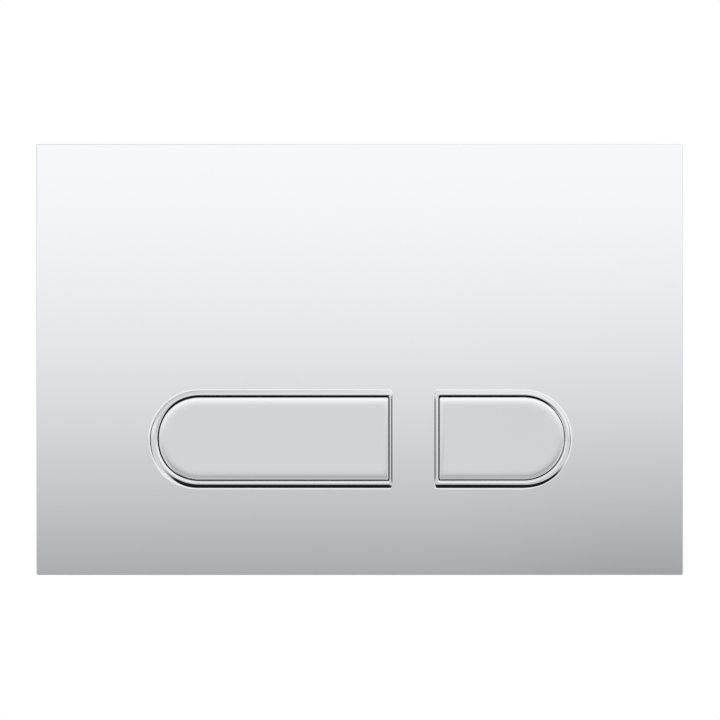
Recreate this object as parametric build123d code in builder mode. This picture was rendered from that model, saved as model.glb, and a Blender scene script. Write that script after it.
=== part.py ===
"""Flush button plate: a chromed cover with two push buttons, and the frame that carries it at the wall.

X runs to the right, Z up and Y into the wall. The origin lies midway between the two fixing studs, in the
plane of the mounting frame's rear face, where the studs leave it. Sizes are in millimetres.
"""
import os
from dataclasses import dataclass
from math import cos, radians, sin

from build123d import *

# Cover plate
plate_w = 240.0
plate_h = 160.0
plate_depth = 11.0
face_wall = 2.5
skirt_wall = 2.2
plate_corner = 0.8
front_edge = 0.4
rim_to_wall = 0.3
rib_w = 1.2
rib_h = 1.6
rib_pitch = 40.0
boss_r = 3.5

# Row of buttons, measured over the bezels
row_w = 157.5
row_h = 37.35
row_right_shift = 0.25
row_above_edge = 50.425
full_flush_w = 90.8
half_flush_w = 51.35

# Bezels
rim_w = 2.85
rim_side_w = 1.4
rim_corner = 1.5
rim_lower_widening = 0.35
full_flush_end_widening = 0.85
half_flush_end_widening = 0.1
lip_slope_w = 2.9
lip_slope_h = 1.05
lip_slope_turn = 69.0
lip_inner_edge = 0.3
neck_wall = 1.6
neck_side_wall = 0.8
neck_tail = 0.8
neck_fit = 0.1
lug_w = 6.0
lug_grip = 0.8
lug_pitch = 22.0
skin_steps = 6

# Push caps
cap_gap = 0.4
cap_proud = 1.0
cap_wall = 1.8
cap_corner = 0.6
crown_w = 2.6
crown_side_w = 1.0
crown_h = 0.25
cap_pin_r = 1.8
cap_pin_fit = 0.1
cap_pin_rise = 8.5

# Sliders under the caps
travel = 5.0
stop_gap = 0.3
slider_wall = 1.4
flange_over = 1.2
flange_side_over = 0.6
spigot_wall = 1.2
spigot_h = 1.5
spigot_fit = 0.15
post_r = 3.0
guide_fit = 0.08
post_inset = 10.0
plunger_r = 4.5
plunger_past = 0.7
post_chamfer = 0.6

# Return springs
spring_mean_r = 4.15
spring_wire = 0.7
spring_turns = 4
spring_wire_sides = 6
spring_seat_gap = 0.1

# Button carrier
carrier_margin = 7.0
carrier_wall = 2.4
carrier_rim_w = 1.6
carrier_rim_h = 3.0
carrier_corner = 5.0
cup_clear = 0.4
cup_wall = 1.4
cup_depth = 5.7
cup_floor = 1.5
sleeve_wall = 1.5
sleeve_len = 5.0
plunger_clear = 1.5
screw_inset = 5.5

# Carrier screws and stop pads
screw_r = 1.45
screw_fit = 0.03
screw_hole_clear = 0.2
screw_head_r = 2.8
screw_head_h = 2.0
screw_bite = 6.5
pad_r = 3.5
pad_h = 1.5
pad_stem_r = 1.5
pad_stem_tail = 0.6
pad_stem_fit = 0.05
pad_rise = 11.5

# Push rods
rod_gap = 0.3
rod_r = 3.0
rod_len = 76.0
rod_tip_r = 2.5
rod_tip_len = 36.0
rod_end_chamfer = 0.8
thread_fit = 0.03
head_r = 8.0
head_t = 3.0
head_cover = 1.0
hub_r = 4.6
hub_h = 1.0
locknut_flats = 10.0
locknut_t = 3.0
bush_r = 5.0
bush_flange_r = 7.5
bush_flange_t = 1.6
bush_tail = 9.6
bush_seat_fit = 0.1
bush_gap = 0.5

# Mounting frame
flange_t = 3.0
flange_to_skirt = 3.8
flange_land = 12.0
flange_corner = 5.0
tub_wall = 2.0
tub_corner = 3.0
tub_front_clear = 2.3
bridge_t = 3.0
bridge_half_h = 15.0
bridge_lip_w = 2.0
bridge_lip_h = 8.0
bush_boss_wall = 2.4
stiffener_w = 2.0
stiffener_h = 4.0
ear_w = 28.0
ear_half_h = 15.0
hook_w = 12.0
hook_t = 1.6
hook_x = 60.0
hook_gap = 0.3
hook_bite = 1.1
hook_catch = 0.9
hook_window_clear = 0.5

# Fixing studs
stud_inset = 12.0
stud_r = 4.0
stud_tail_r = 3.5
stud_hole_clear = 0.3
stud_front_tail = 5.0
stud_reach = 55.0
stud_chamfer = 1.0
washer_r = 8.0
washer_t = 1.2
nut_r = 8.5
nut_t = 8.0
nut_grip_r = 1.2
nut_grips = 12

# Places along Y, from the seat of the fixing studs out to the front of the caps
bridge_rear = 0.0
bridge_front = bridge_rear - bridge_t
bush_front = bridge_front - bush_flange_t
locknut_rear = bush_front - bush_gap - travel
head_rear = locknut_rear - locknut_t
head_front = head_rear - hub_h - head_t
rod_front = head_front + head_cover
plunger_end = head_front - rod_gap
sleeve_rear = plunger_end - plunger_past
cup_rear = sleeve_rear - sleeve_len
cup_seat = cup_rear - cup_floor
carrier_front = cup_seat - cup_depth
carrier_rear = carrier_front + carrier_wall
pad_front = carrier_front - pad_h
slider_rear = pad_front - stop_gap - travel
slider_front = slider_rear - slider_wall
neck_rear = slider_front - stop_gap
face_rear = neck_rear - neck_tail
face_y = face_rear - face_wall
cap_front = face_y - cap_proud
cap_inside = cap_front + cap_wall + crown_h
wall_y = face_y + plate_depth
cover_rear = wall_y - rim_to_wall
flange_front = wall_y - flange_t
tub_front = face_rear + tub_front_clear

# Places across the plate
row_z = row_above_edge - plate_h / 2
carrier_w = row_w + 2 * carrier_margin
carrier_h = row_h + 2 * carrier_margin
flange_w = plate_w - 2 * (skirt_wall + flange_to_skirt)
flange_h = plate_h - 2 * (skirt_wall + flange_to_skirt)
tub_w = flange_w - 2 * flange_land
tub_h = flange_h - 2 * flange_land
tub_in_w = tub_w - 2 * tub_wall
tub_in_h = tub_h - 2 * tub_wall
stud_x = tub_in_w / 2 - stud_inset
lip_h = lip_slope_h * sin(radians(lip_slope_turn))
neck_inset = rim_w - neck_wall
neck_side_inset = rim_side_w - neck_side_wall
cap_inset = rim_w + cap_gap
cap_side_inset = rim_side_w + cap_gap
spring_r = spring_mean_r + spring_wire / 2
cup_r = spring_r + cup_clear
post_hole_r = post_r + guide_fit
plunger_hole_r = plunger_r + plunger_clear


@dataclass(frozen=True)
class Key:
    """One push button of the row, from its round end, where its rim is wider, to its straight side."""

    name: str
    round_x: float
    side_x: float
    end_widening: float

    @property
    def facing(self):
        """+1 where the straight side lies to the right of the round end."""
        return 1 if self.side_x > self.round_x else -1

    @property
    def middle(self):
        """Middle of the cap along X, where the plunger and the push rod lie."""
        cap_round = self.round_x + self.facing * (cap_inset + self.end_widening)
        cap_side = self.side_x - self.facing * cap_side_inset
        return (cap_round + cap_side) / 2

    @property
    def cap_w(self):
        """Width of the cap along X."""
        return abs(self.side_x - self.round_x) - cap_inset - self.end_widening - cap_side_inset

    @property
    def post_offset(self):
        """Distance of each guide post from the middle of the cap."""
        return self.cap_w / 2 - post_inset


row_left = row_right_shift - row_w / 2
row_right = row_right_shift + row_w / 2
keys = [
    Key("full_flush", row_left, row_left + full_flush_w, full_flush_end_widening),
    Key("half_flush", row_right, row_right - half_flush_w, half_flush_end_widening),
]
gap_middle = (keys[0].side_x + keys[1].side_x) / 2
screw_x = carrier_w / 2 - screw_inset
screw_rise = carrier_h / 2 - screw_inset
screw_points = [(x, row_z + dz) for x in (-screw_x, gap_middle, screw_x) for dz in (-screw_rise, screw_rise)]


def front(y):
    """Sketch plane that faces the front at depth y: its own axes are X and Z."""
    return Plane.XZ.offset(-y)


def half_stadium(key, inset, side_inset, corner):
    """Face with one round end and one straight side, set in from the bezel's outline.

    The rim is wider at the round end and below, so a face inside it is set in further there.
    """
    share = min(1, inset / rim_w)
    lift = rim_lower_widening * share / 2
    radius = row_h / 2 - inset - lift
    middle_z = row_z + lift
    round_x = key.round_x + key.facing * (inset + key.end_widening * share)
    side_x = key.side_x - key.facing * side_inset
    arc_x = round_x + key.facing * radius
    corner_x = side_x - key.facing * corner
    bulge = corner * sin(radians(45))
    top = middle_z + radius
    bottom = middle_z - radius
    with BuildSketch() as outline:
        with BuildLine():
            Line((arc_x, top), (corner_x, top))
            ThreePointArc(
                (corner_x, top),
                (corner_x + key.facing * bulge, top - corner + bulge),
                (side_x, top - corner),
            )
            Line((side_x, top - corner), (side_x, bottom + corner))
            ThreePointArc(
                (side_x, bottom + corner),
                (corner_x + key.facing * bulge, bottom + corner - bulge),
                (corner_x, bottom),
            )
            Line((corner_x, bottom), (arc_x, bottom))
            ThreePointArc((arc_x, bottom), (round_x, middle_z), (arc_x, top))
        make_face()
    return outline.sketch


def key_row(key, offset):
    """Two places on the row's middle line, left and right of the cap's middle."""
    return [(key.middle - offset, row_z), (key.middle + offset, row_z)]


def save(piece, name):
    """Label a finished piece and write its STEP file."""
    piece.part.label = name
    export_step(piece.part, f"parts/{name}.step")


def make_cover_plate():
    """Chromed moulding: face, skirt, openings for the bezels, ribs, screw bosses and snap hooks."""
    with BuildPart() as cover:
        with BuildSketch(front(face_y)):
            RectangleRounded(plate_w, plate_h, plate_corner)
        extrude(amount=face_y - cover_rear)
        fillet(cover.faces().sort_by(Axis.Y)[0].edges(), front_edge)
        with BuildSketch(front(face_rear)):
            Rectangle(plate_w - 2 * skirt_wall, plate_h - 2 * skirt_wall)
        extrude(amount=face_rear - cover_rear, mode=Mode.SUBTRACT)
        with BuildSketch(front(face_rear)):
            rib_top = plate_h / 2 - skirt_wall
            rib_bottom = row_z + carrier_h / 2
            rib_count = int((plate_w / 2 - skirt_wall) // rib_pitch)
            for column in range(-rib_count, rib_count + 1):
                with Locations((column * rib_pitch, (rib_top + rib_bottom) / 2)):
                    Rectangle(rib_w, rib_top - rib_bottom)
            with Locations((0, (rib_top + rib_bottom) / 2)):
                Rectangle(plate_w - 2 * skirt_wall, rib_w)
        extrude(amount=-rib_h)
        for key in keys:
            with BuildSketch(front(face_y)):
                add(half_stadium(key, neck_inset - neck_fit, neck_side_inset - neck_fit, rim_corner))
            extrude(amount=-face_wall, mode=Mode.SUBTRACT)
        with BuildSketch(front(face_rear)):
            with Locations(*screw_points):
                Circle(boss_r)
                Circle(screw_r + screw_fit, mode=Mode.SUBTRACT)
        extrude(amount=face_rear - carrier_front)
        hook_root = tub_h / 2 + hook_gap
        hook_tip = flange_front - hook_gap
        barb_top = tub_front + hook_catch + hook_gap
        for side in (-1, 1):
            for x in (-hook_x, hook_x):
                with BuildSketch(Plane.YZ.offset(x - hook_w / 2)):
                    with BuildLine():
                        Polyline(
                            (face_rear, side * hook_root),
                            (face_rear, side * (hook_root + hook_t)),
                            (hook_tip, side * (hook_root + hook_t)),
                            (hook_tip, side * hook_root),
                            (barb_top + hook_bite / 2, side * (hook_root - hook_bite)),
                            (barb_top, side * (hook_root - hook_bite)),
                            (barb_top, side * hook_root),
                            close=True,
                        )
                    make_face()
                extrude(amount=hook_w)
    save(cover, "cover_plate")


def make_bezel(key):
    """Chromed rim: a lip with a convex slope and a flat crest, a neck through the plate and snap lugs."""
    with BuildPart() as bezel:
        for step in range(skin_steps + 1):
            turn = radians(lip_slope_turn * step / skin_steps)
            inset = lip_slope_w * (1 - cos(turn))
            side_inset = inset * rim_side_w / rim_w
            with BuildSketch(front(face_y - lip_slope_h * sin(turn))):
                add(half_stadium(key, inset, side_inset, rim_corner - side_inset))
        loft(ruled=True)
        with BuildSketch(front(face_y)):
            add(half_stadium(key, neck_inset, neck_side_inset, rim_corner))
        extrude(amount=face_y - neck_rear)
        with BuildSketch(front(face_y - lip_h)):
            add(half_stadium(key, rim_w, rim_side_w, cap_corner))
        extrude(amount=face_y - lip_h - neck_rear, mode=Mode.SUBTRACT)
        crest = bezel.faces().sort_by(Axis.Y)[0]
        fillet(crest.inner_wires().edges(), lip_inner_edge)
        neck_top = row_z + row_h / 2 - neck_inset
        neck_bottom = row_z - row_h / 2 + neck_inset + rim_lower_widening * neck_inset / rim_w
        lug_count = max(1, int((key.cap_w - row_h / 2) // lug_pitch))
        lug_middle = key.side_x - key.facing * (key.cap_w - row_h / 2) / 2
        for number in range(lug_count):
            x = lug_middle + (number - (lug_count - 1) / 2) * lug_pitch
            for side, root in ((-1, neck_bottom), (1, neck_top)):
                with BuildSketch(Plane.YZ.offset(x - lug_w / 2)):
                    with BuildLine():
                        Polyline(
                            (face_rear, root - side * neck_wall / 2),
                            (face_rear, root + side * lug_grip),
                            (neck_rear, root),
                            (neck_rear, root - side * neck_wall / 2),
                            close=True,
                        )
                    make_face()
                extrude(amount=lug_w)
    save(bezel, f"{key.name}_bezel")


def make_cap(key):
    """Chromed push cap: a crowned shell, open behind, with four pins that go into its slider."""
    with BuildPart() as cap:
        with BuildSketch(front(slider_front)):
            add(half_stadium(key, cap_inset, cap_side_inset, cap_corner))
        extrude(amount=slider_front - cap_front - crown_h)
        for step in range(skin_steps + 1):
            turn = radians(90 * step / skin_steps)
            inset = crown_w * (1 - cos(turn))
            side_inset = crown_side_w * (1 - cos(turn))
            with BuildSketch(front(cap_front + crown_h * (1 - sin(turn)))):
                add(half_stadium(key, cap_inset + inset, cap_side_inset + side_inset, cap_corner + side_inset))
        loft(ruled=True)
        with BuildSketch(front(slider_front)):
            add(half_stadium(key, cap_inset + cap_wall, cap_side_inset + cap_wall, cap_corner))
        extrude(amount=slider_front - cap_inside, mode=Mode.SUBTRACT)
        with BuildSketch(front(cap_inside)):
            with Locations(*cap_pin_points(key)):
                Circle(cap_pin_r)
        extrude(amount=cap_inside - slider_rear + stop_gap)
    save(cap, f"{key.name}_cap")


def cap_pin_points(key):
    """Places of the four pins, in from the guide posts and up and down from the row's middle."""
    return [
        (key.middle + side * key.post_offset / 2, row_z + up * cap_pin_rise)
        for side in (-1, 1)
        for up in (-1, 1)
    ]


def make_slider(key):
    """Button base: a flange that stops behind the bezel, a spigot in the cap, posts and a plunger."""
    flange_inset = rim_w - flange_over
    flange_side_inset = rim_side_w - flange_side_over
    spigot_inset = cap_inset + cap_wall + spigot_fit
    spigot_side_inset = cap_side_inset + cap_wall + spigot_fit
    with BuildPart() as slider:
        with BuildSketch(front(slider_front)):
            add(half_stadium(key, flange_inset, flange_side_inset, cap_corner))
            with Locations(*cap_pin_points(key)):
                Circle(cap_pin_r + cap_pin_fit, mode=Mode.SUBTRACT)
        extrude(amount=-slider_wall)
        with BuildSketch(front(slider_front)):
            add(half_stadium(key, spigot_inset, spigot_side_inset, cap_corner))
        extrude(amount=spigot_h)
        with BuildSketch(front(slider_front)):
            add(half_stadium(key, spigot_inset + spigot_wall, spigot_side_inset + spigot_wall, cap_corner))
        extrude(amount=spigot_h, mode=Mode.SUBTRACT)
        with BuildSketch(front(slider_rear)):
            with Locations(*key_row(key, key.post_offset)):
                Circle(post_r)
        extrude(amount=slider_rear - sleeve_rear)
        chamfer(slider.faces().sort_by(Axis.Y)[-2:].edges(), post_chamfer)
        with BuildSketch(front(slider_rear)):
            with Locations((key.middle, row_z)):
                Circle(plunger_r)
        extrude(amount=slider_rear - plunger_end)
    save(slider, f"{key.name}_slider")


def make_spring(key, x, name):
    """Compression spring round one guide post, between the slider and its cup."""
    start = slider_rear + spring_seat_gap + spring_wire / 2
    length = cup_seat - slider_rear - 2 * spring_seat_gap - spring_wire
    with BuildPart() as spring:
        with BuildLine() as coil:
            Helix(length / spring_turns, length, spring_mean_r, center=(x, start, row_z), direction=(0, 1, 0))
        with BuildSketch(Plane(coil.line @ 0, z_dir=coil.line % 0)):
            RegularPolygon(spring_wire / 2, spring_wire_sides)
        sweep(path=coil.line, is_frenet=True)
    save(spring, f"{key.name}_{name}_spring")


def make_button_carrier():
    """Plate behind the buttons: spring cups, guide sleeves, plunger holes and screw holes."""
    with BuildPart() as carrier:
        with BuildSketch(front(carrier_front)):
            with Locations((0, row_z)):
                RectangleRounded(carrier_w, carrier_h, carrier_corner)
        extrude(amount=-carrier_wall)
        with BuildSketch(front(carrier_rear)):
            with Locations((0, row_z)):
                RectangleRounded(carrier_w, carrier_h, carrier_corner)
                inner_w = carrier_w - 2 * carrier_rim_w
                inner_h = carrier_h - 2 * carrier_rim_w
                RectangleRounded(inner_w, inner_h, carrier_corner - carrier_rim_w, mode=Mode.SUBTRACT)
        extrude(amount=-carrier_rim_h)
        post_points = [point for key in keys for point in key_row(key, key.post_offset)]
        with BuildSketch(front(carrier_rear)):
            with Locations(*post_points):
                Circle(cup_r + cup_wall)
        extrude(amount=carrier_rear - cup_rear)
        with BuildSketch(front(cup_rear)):
            with Locations(*post_points):
                Circle(post_hole_r + sleeve_wall)
        extrude(amount=-sleeve_len)
        with BuildSketch(front(carrier_front)):
            with Locations(*post_points):
                Circle(cup_r)
        extrude(amount=-cup_depth, mode=Mode.SUBTRACT)
        with BuildSketch(front(carrier_front)):
            with Locations(*post_points):
                Circle(post_hole_r)
        extrude(amount=carrier_front - sleeve_rear, mode=Mode.SUBTRACT)
        with BuildSketch(front(carrier_front)):
            with Locations(*[(key.middle, row_z) for key in keys]):
                Circle(plunger_hole_r)
        extrude(amount=carrier_front - sleeve_rear, mode=Mode.SUBTRACT)
        with BuildSketch(front(carrier_front)):
            with Locations(*screw_points):
                Circle(screw_r + screw_hole_clear)
            with Locations(*[point for key in keys for point in pad_points(key)]):
                Circle(pad_stem_r + pad_stem_fit)
        extrude(amount=-carrier_wall, mode=Mode.SUBTRACT)
    save(carrier, "button_carrier")


def make_carrier_screws():
    """Pan head screws through the carrier into the cover's bosses."""
    with BuildPart() as screws:
        with BuildSketch(front(carrier_rear)):
            with Locations(*screw_points):
                Circle(screw_r)
        extrude(amount=carrier_wall + screw_bite)
        with BuildSketch(front(carrier_rear)):
            with Locations(*screw_points):
                Circle(screw_head_r)
        extrude(amount=-screw_head_h)
        chamfer(screws.edges().group_by(Axis.Y)[-1], screw_head_h / 2)
    save(screws, "carrier_screws")


def pad_points(key):
    """Places of the two stop pads, above and below the plunger."""
    return [(key.middle, row_z - pad_rise), (key.middle, row_z + pad_rise)]


def make_stop_pads(key):
    """Rubber pads that end the travel, with stems pushed through the carrier."""
    with BuildPart() as pads:
        with BuildSketch(front(carrier_front)):
            with Locations(*pad_points(key)):
                Circle(pad_r)
        extrude(amount=pad_h)
        chamfer(pads.edges().group_by(Axis.Y)[0], pad_h / 3)
        with BuildSketch(front(carrier_front)):
            with Locations(*pad_points(key)):
                Circle(pad_stem_r)
        extrude(amount=-carrier_wall - pad_stem_tail)
    save(pads, f"{key.name}_stop_pads")


def make_mounting_frame():
    """Frame at the wall opening: flange, tub, rear bridge with ears, and windows for the hooks."""
    with BuildPart() as frame:
        with BuildSketch(front(flange_front)):
            RectangleRounded(flange_w, flange_h, flange_corner)
            RectangleRounded(tub_in_w, tub_in_h, tub_corner, mode=Mode.SUBTRACT)
        extrude(amount=-flange_t)
        with BuildSketch(front(tub_front)):
            RectangleRounded(tub_w, tub_h, tub_corner + tub_wall)
            RectangleRounded(tub_in_w, tub_in_h, tub_corner, mode=Mode.SUBTRACT)
        extrude(amount=tub_front - bridge_rear)
        bridge_top = row_z + bridge_half_h
        tub_floor = -tub_in_h / 2
        between_ears = tub_w - tub_wall - 2 * ear_w
        with BuildSketch(front(bridge_front)):
            with Locations((0, (bridge_top + tub_floor) / 2)):
                Rectangle(tub_w - tub_wall, bridge_top - tub_floor + tub_wall)
            for side in (-1, 1):
                with Locations((side * (tub_w - tub_wall - ear_w) / 2, 0)):
                    Rectangle(ear_w, 2 * ear_half_h)
            with Locations(*[(key.middle, row_z) for key in keys]):
                Circle(bush_r + bush_seat_fit, mode=Mode.SUBTRACT)
            with Locations((-stud_x, 0), (stud_x, 0)):
                Circle(stud_r + stud_hole_clear, mode=Mode.SUBTRACT)
        extrude(amount=-bridge_t)
        with BuildSketch(front(bridge_front)):
            with Locations((0, bridge_top - bridge_lip_w / 2)):
                Rectangle(between_ears, bridge_lip_w)
        extrude(amount=bridge_lip_h)
        with BuildSketch(front(bridge_rear)):
            with Locations((0, row_z)):
                Rectangle(between_ears, stiffener_w)
            for x in (-between_ears / 2, gap_middle, between_ears / 2):
                with Locations((x, (bridge_top + tub_floor) / 2)):
                    Rectangle(stiffener_w, bridge_top - tub_floor)
            with Locations(*[(key.middle, row_z) for key in keys]):
                Circle(bush_r + bush_seat_fit + bush_boss_wall)
                Circle(bush_r + bush_seat_fit, mode=Mode.SUBTRACT)
        extrude(amount=-stiffener_h)
        window_front = tub_front + hook_catch
        window_w = hook_w + 2 * hook_window_clear
        with BuildSketch(front(window_front)):
            with Locations((-hook_x, 0), (hook_x, 0)):
                Rectangle(window_w, 2 * tub_h)
        extrude(amount=window_front - flange_front, mode=Mode.SUBTRACT)
    save(frame, "mounting_frame")


def make_fixing(side, x):
    """Threaded stud of one side, with the washer and the hand nut that hold the frame."""
    washer_front = bridge_front - washer_t
    nut_front = washer_front - nut_t
    with BuildPart() as stud:
        with BuildSketch(front(nut_front - stud_front_tail)):
            with Locations((x, 0)):
                Circle(stud_r)
        extrude(amount=nut_front - stud_front_tail - bridge_rear)
        with BuildSketch(front(bridge_rear)):
            with Locations((x, 0)):
                Circle(stud_tail_r)
        extrude(amount=-stud_reach)
        stud_ends = stud.edges().filter_by(GeomType.CIRCLE).group_by(Axis.Y)
        chamfer(stud_ends[0] + stud_ends[-1], stud_chamfer)
    save(stud, f"{side}_fixing_stud")
    with BuildPart() as washer:
        with BuildSketch(front(washer_front)):
            with Locations((x, 0)):
                Circle(washer_r)
                Circle(stud_r + stud_hole_clear, mode=Mode.SUBTRACT)
        extrude(amount=-washer_t)
    save(washer, f"{side}_fixing_washer")
    with BuildPart() as nut:
        with BuildSketch(front(nut_front)):
            with Locations((x, 0)):
                Circle(nut_r)
                Circle(stud_r + thread_fit, mode=Mode.SUBTRACT)
                with PolarLocations(nut_r, nut_grips):
                    Circle(nut_grip_r, mode=Mode.SUBTRACT)
        extrude(amount=-nut_t)
    save(nut, f"{side}_fixing_nut")


def make_push_rod(key):
    """Push rod of one button, its adjustable head and lock nut, and the bush that guides it."""
    with BuildPart() as rod:
        with BuildSketch(front(rod_front)):
            with Locations((key.middle, row_z)):
                Circle(rod_r)
        extrude(amount=rod_tip_len - rod_len)
        with BuildSketch(front(rod_front + rod_len - rod_tip_len)):
            with Locations((key.middle, row_z)):
                Circle(rod_tip_r)
        extrude(amount=-rod_tip_len)
        rod_ends = rod.edges().filter_by(GeomType.CIRCLE).group_by(Axis.Y)
        chamfer(rod_ends[0] + rod_ends[-1], rod_end_chamfer)
    save(rod, f"{key.name}_push_rod")
    with BuildPart() as head:
        with BuildSketch(front(head_front)):
            with Locations((key.middle, row_z)):
                Circle(head_r)
        extrude(amount=-head_t)
        chamfer(head.edges().filter_by(GeomType.CIRCLE), head_t / 4)
        with BuildSketch(front(head_front + head_t)):
            with Locations((key.middle, row_z)):
                Circle(hub_r)
        extrude(amount=-hub_h)
        with BuildSketch(front(rod_front)):
            with Locations((key.middle, row_z)):
                Circle(rod_r + thread_fit)
        extrude(amount=rod_front - head_rear, mode=Mode.SUBTRACT)
    save(head, f"{key.name}_rod_head")
    with BuildPart() as locknut:
        with BuildSketch(front(head_rear)):
            with Locations((key.middle, row_z)):
                RegularPolygon(locknut_flats / 2, 6, major_radius=False)
                Circle(rod_r + thread_fit, mode=Mode.SUBTRACT)
        extrude(amount=-locknut_t)
    save(locknut, f"{key.name}_rod_locknut")
    with BuildPart() as bush:
        with BuildSketch(front(bush_front)):
            with Locations((key.middle, row_z)):
                Circle(bush_flange_r)
        extrude(amount=-bush_flange_t)
        with BuildSketch(front(bridge_front)):
            with Locations((key.middle, row_z)):
                Circle(bush_r)
        extrude(amount=-bridge_t - bush_tail)
        with BuildSketch(front(bush_front)):
            with Locations((key.middle, row_z)):
                Circle(rod_r + guide_fit)
        extrude(amount=-bush_flange_t - bridge_t - bush_tail, mode=Mode.SUBTRACT)
    save(bush, f"{key.name}_rod_bush")


os.makedirs("parts", exist_ok=True)
make_cover_plate()
make_button_carrier()
make_carrier_screws()
make_mounting_frame()
for key in keys:
    make_bezel(key)
    make_cap(key)
    make_slider(key)
    make_spring(key, key.middle - key.post_offset, "left")
    make_spring(key, key.middle + key.post_offset, "right")
    make_stop_pads(key)
    make_push_rod(key)
for side, x in (("left", -stud_x), ("right", stud_x)):
    make_fixing(side, x)
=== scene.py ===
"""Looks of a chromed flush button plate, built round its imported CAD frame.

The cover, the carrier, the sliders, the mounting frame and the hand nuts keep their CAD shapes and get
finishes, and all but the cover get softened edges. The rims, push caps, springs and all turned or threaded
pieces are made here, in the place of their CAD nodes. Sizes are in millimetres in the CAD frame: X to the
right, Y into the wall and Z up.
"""

import logging
from collections.abc import Callable, Iterable, Sequence
from dataclasses import dataclass, replace
from enum import Enum
from math import ceil, cos, pi, radians, sin, tan

import bmesh
import bpy
from bmesh.types import BMVert
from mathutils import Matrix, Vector


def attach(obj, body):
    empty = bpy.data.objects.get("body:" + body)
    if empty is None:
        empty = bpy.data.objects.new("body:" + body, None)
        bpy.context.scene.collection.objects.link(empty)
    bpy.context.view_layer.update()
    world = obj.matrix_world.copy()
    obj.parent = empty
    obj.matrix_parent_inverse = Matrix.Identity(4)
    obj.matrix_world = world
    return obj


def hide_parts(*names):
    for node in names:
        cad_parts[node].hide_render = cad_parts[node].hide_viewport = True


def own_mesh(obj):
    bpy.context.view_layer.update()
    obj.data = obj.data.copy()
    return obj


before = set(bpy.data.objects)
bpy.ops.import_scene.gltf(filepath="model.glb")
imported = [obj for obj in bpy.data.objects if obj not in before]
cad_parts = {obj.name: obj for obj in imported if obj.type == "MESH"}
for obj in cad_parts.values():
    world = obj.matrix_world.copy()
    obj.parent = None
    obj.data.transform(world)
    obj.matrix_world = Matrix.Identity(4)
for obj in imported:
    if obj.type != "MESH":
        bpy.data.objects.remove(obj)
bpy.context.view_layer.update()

log = logging.getLogger("flush_plate")

Pair = tuple[float, float]
Ramp = tuple[float, float, float, float]
Point = tuple[float, float, float]
Color = tuple[float, float, float]
Row = list[BMVert]
Socket = bpy.types.NodeSocket
Inputs = bpy.types.NodeInputs
Piece = bpy.types.Object

MM = 0.001
WHITE: Color = (1.0, 1.0, 1.0)
PLATE = "plate"
BUTTON_Z = -29.575


class Slot(Enum):
    """Material slots of the record."""

    CHROME = "chrome"
    BLACK_PLASTIC = "black_plastic"
    WHITE_PLASTIC = "white_plastic"
    GREY_PLASTIC = "grey_plastic"
    ROD_PLASTIC = "rod_plastic"
    NUT_PLASTIC = "nut_plastic"
    ZINC_STEEL = "zinc_steel"
    SPRING_STEEL = "spring_steel"
    RUBBER = "rubber"


class KeyName(Enum):
    """The two push buttons, by what they flush, with X of their middles."""

    FULL = ("full_flush", -31.95)
    HALF = ("half_flush", 52.55)

    @property
    def label(self) -> str:
        """First part of the names of the button's pieces."""
        return self.value[0]

    @property
    def middle(self) -> float:
        """X of the button's middle and of its rod."""
        return self.value[1]

    @property
    def button(self) -> str:
        """Body of the cap and its slider."""
        return f"{self.label}_button"

    @property
    def rod(self) -> str:
        """Body of the push rod."""
        return f"{self.label}_rod"

    @property
    def press(self) -> str:
        """Joint that the button moves on."""
        return f"{self.label}_press"


class Side(Enum):
    """Left and right, as seen from the room."""

    LEFT = "left"
    RIGHT = "right"

    @property
    def sign(self) -> int:
        """Direction along X: -1 on the left and +1 on the right."""
        return 1 if self is Side.RIGHT else -1


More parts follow.
